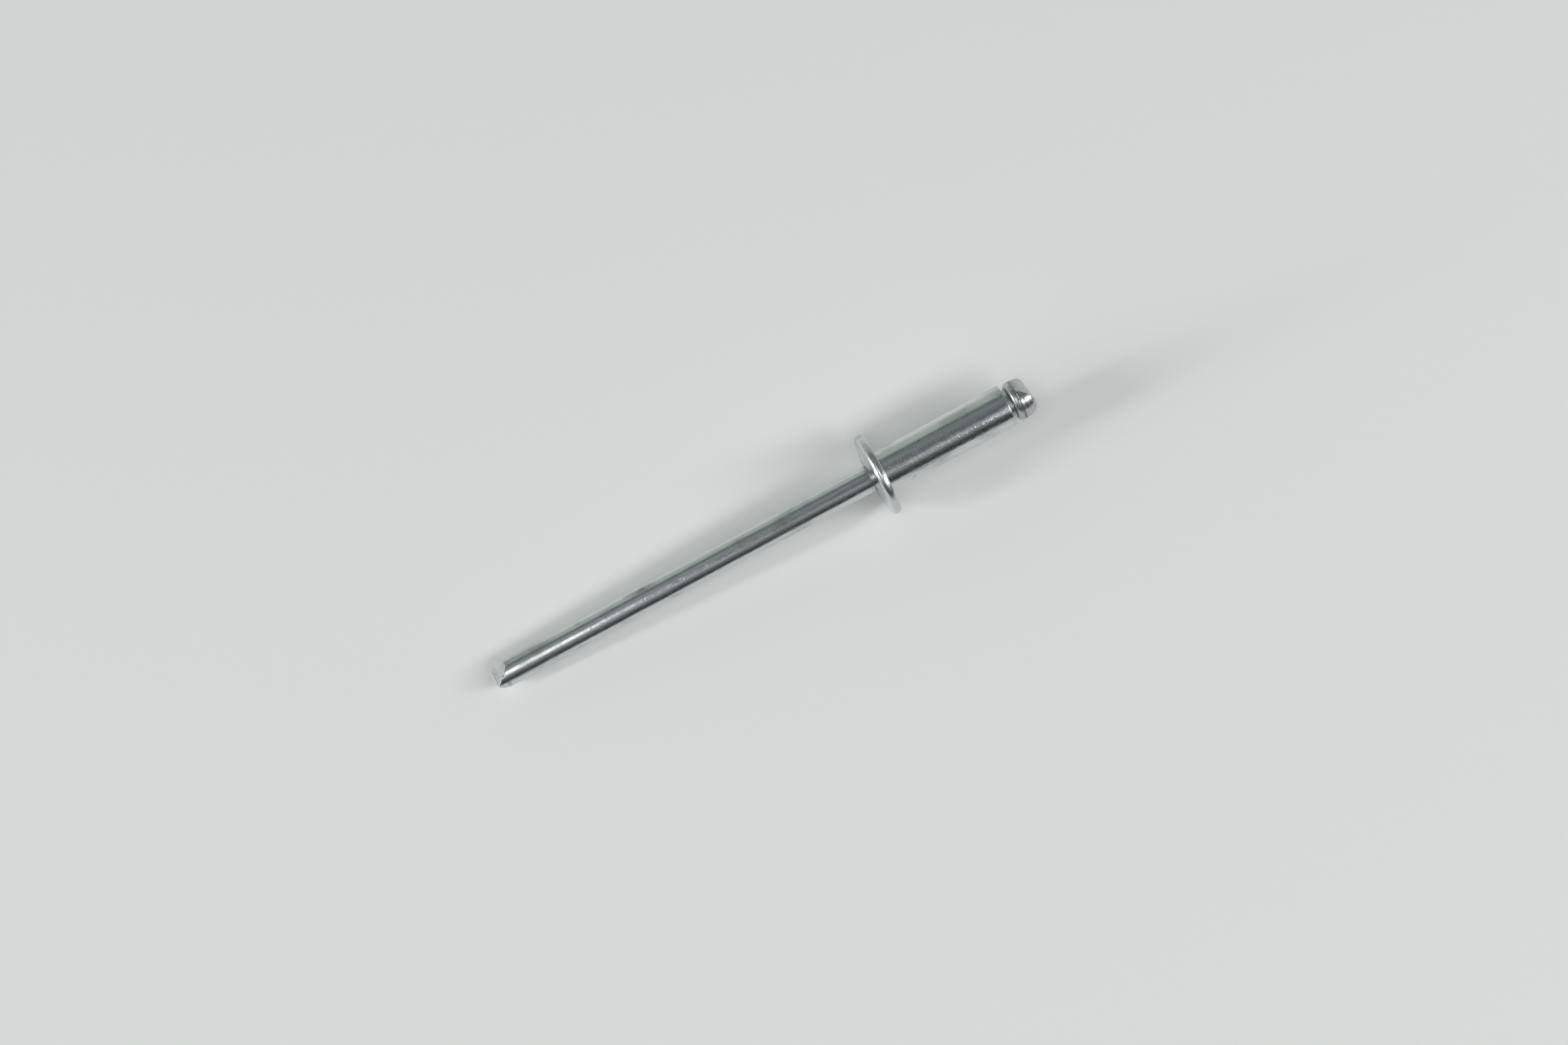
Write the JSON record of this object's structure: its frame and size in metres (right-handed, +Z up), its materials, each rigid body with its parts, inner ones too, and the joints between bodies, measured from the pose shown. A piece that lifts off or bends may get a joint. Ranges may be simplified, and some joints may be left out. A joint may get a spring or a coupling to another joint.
{
  "type": "blind rivet",
  "caption": "Open-end blind rivet with a domed flange on a tubular shank, pulled by a steel wire mandrel with a chisel-cut tail and a half-round head; unset, lying at rest.",
  "frame": {"origin": "on the rivet's axis, in the plane of the flange's seat", "axes": "+X runs towards the blind end, level with the surface that the rivet lies on; +Z up. The rivet's axis lies in the XZ plane and climbs 4.17 degrees from +X, as the rivet rests on its flange's rim and the tail of its mandrel"},
  "size_m": [0.0437, 0.0064, 0.0063],
  "materials": {
    "plated_body_steel": "bright zinc plate over cold-headed steel, faint lengthwise lines",
    "plated_wire_steel": "bright zinc plate over drawn steel wire, fine lengthwise drawing lines"
  },
  "bodies": {
    "root": {"rivet_body": "plated_body_steel", "mandrel": "plated_wire_steel"}
  },
  "joints": []
}
